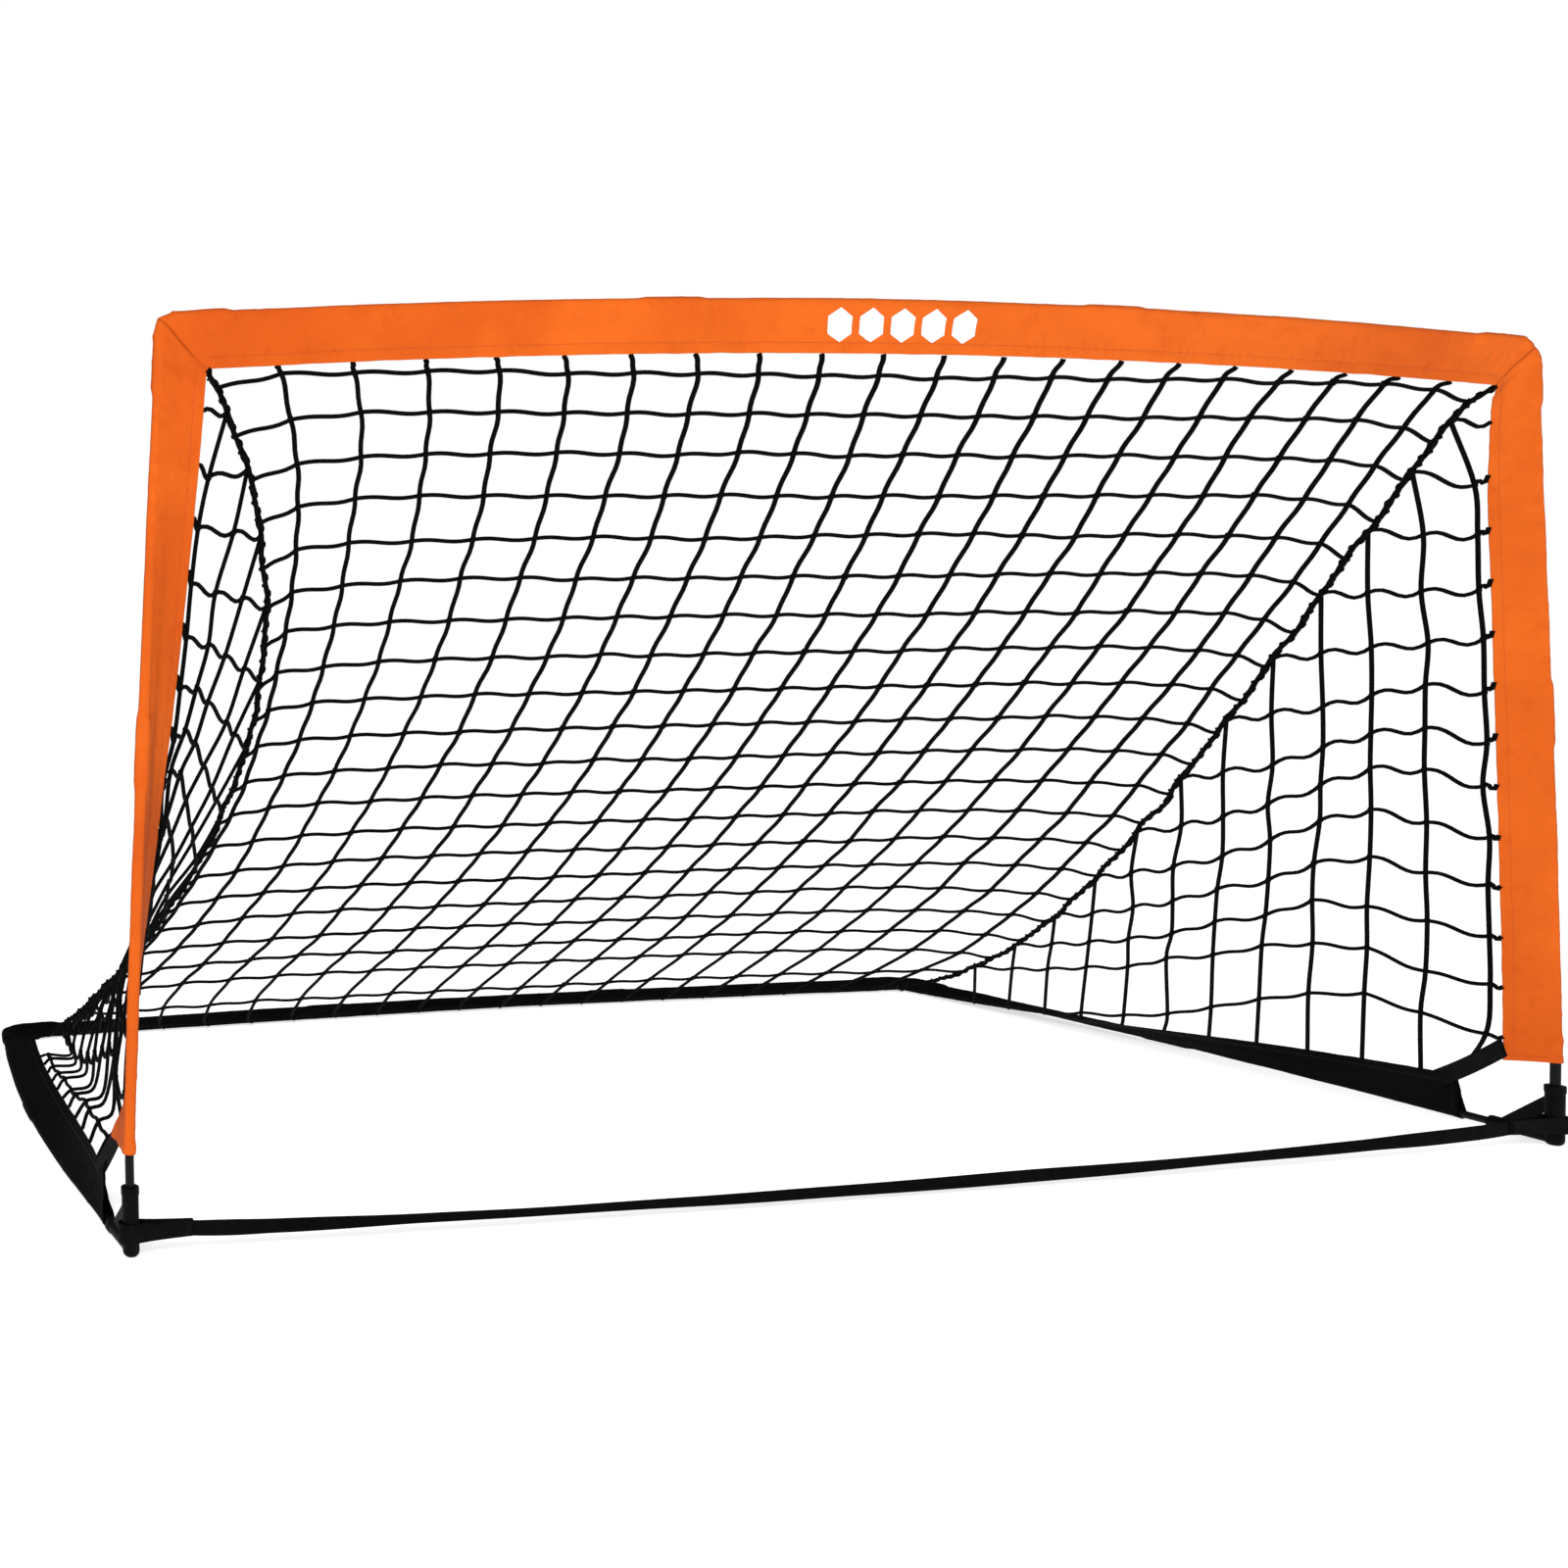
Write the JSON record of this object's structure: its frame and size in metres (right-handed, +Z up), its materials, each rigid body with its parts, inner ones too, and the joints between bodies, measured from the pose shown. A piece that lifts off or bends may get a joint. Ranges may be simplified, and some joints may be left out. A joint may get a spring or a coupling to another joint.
{
  "type": "soccer goal frame",
  "caption": "Portable soccer goal: fabric-sleeved pole arch plugged into corner connectors over a sleeved ground frame, with a sagging net and a strap across the mouth.",
  "frame": {"origin": "on the ground at the centre of the footprint's box", "axes": "+X along the goal's width, the mouth faces -Y, +Z up"},
  "size_m": [2.27, 1.3168, 1.235],
  "materials": {
    "orange_fabric": "coated Oxford cloth, semi-matte with a fine weave",
    "black_fabric": "coated Oxford cloth, matte",
    "black_plastic": "moulded, fine texture",
    "fibreglass": "smooth satin tube",
    "ferrule_metal": "plated",
    "elastic_cord": "braided",
    "net_cord": "knotted twine, matte",
    "webbing": "woven webbing"
  },
  "bodies": {
    "arch": {"left_post_pole_lower": "fibreglass", "left_post_pole_upper": "fibreglass", "crossbar_pole_left": "fibreglass", "crossbar_pole_middle": "fibreglass", "crossbar_pole_right": "fibreglass", "right_post_pole_upper": "fibreglass", "right_post_pole_lower": "fibreglass", "left_post_ferrule": "ferrule_metal", "crossbar_ferrule_left": "ferrule_metal", "crossbar_ferrule_right": "ferrule_metal", "right_post_ferrule": "ferrule_metal", "top_elbow_left": "black_plastic", "top_elbow_right": "black_plastic", "arch_shock_cord": "elastic_cord", "left_post_sleeve": "orange_fabric", "right_post_sleeve": "orange_fabric", "crossbar_sleeve": "orange_fabric"},
    "base": {"left_side_pole_front": "fibreglass", "left_side_pole_rear": "fibreglass", "rear_pole_left": "fibreglass", "rear_pole_middle": "fibreglass", "rear_pole_right": "fibreglass", "right_side_pole_rear": "fibreglass", "right_side_pole_front": "fibreglass", "left_side_ferrule": "ferrule_metal", "rear_ferrule_left": "ferrule_metal", "rear_ferrule_right": "ferrule_metal", "right_side_ferrule": "ferrule_metal", "rear_elbow_left": "black_plastic", "rear_elbow_right": "black_plastic", "base_shock_cord": "elastic_cord", "left_side_sleeve": "black_fabric", "right_side_sleeve": "black_fabric", "rear_sleeve": "black_fabric", "corner_connector_left": "black_plastic", "corner_connector_right": "black_plastic", "front_strap": "webbing", "strap_loop_left": "webbing", "strap_loop_right": "webbing", "link_strap_left": "webbing", "link_strap_right": "webbing", "net_back": "net_cord", "net_side_left": "net_cord", "net_side_right": "net_cord", "lacing_cord_left": "net_cord", "lacing_cord_right": "net_cord"}
  },
  "joints": [
    {"name": "arch_lift", "type": "slide", "parent": "base", "child": "arch", "axis": [0, 0, 1], "range_m": [0, 0.07]}
  ]
}
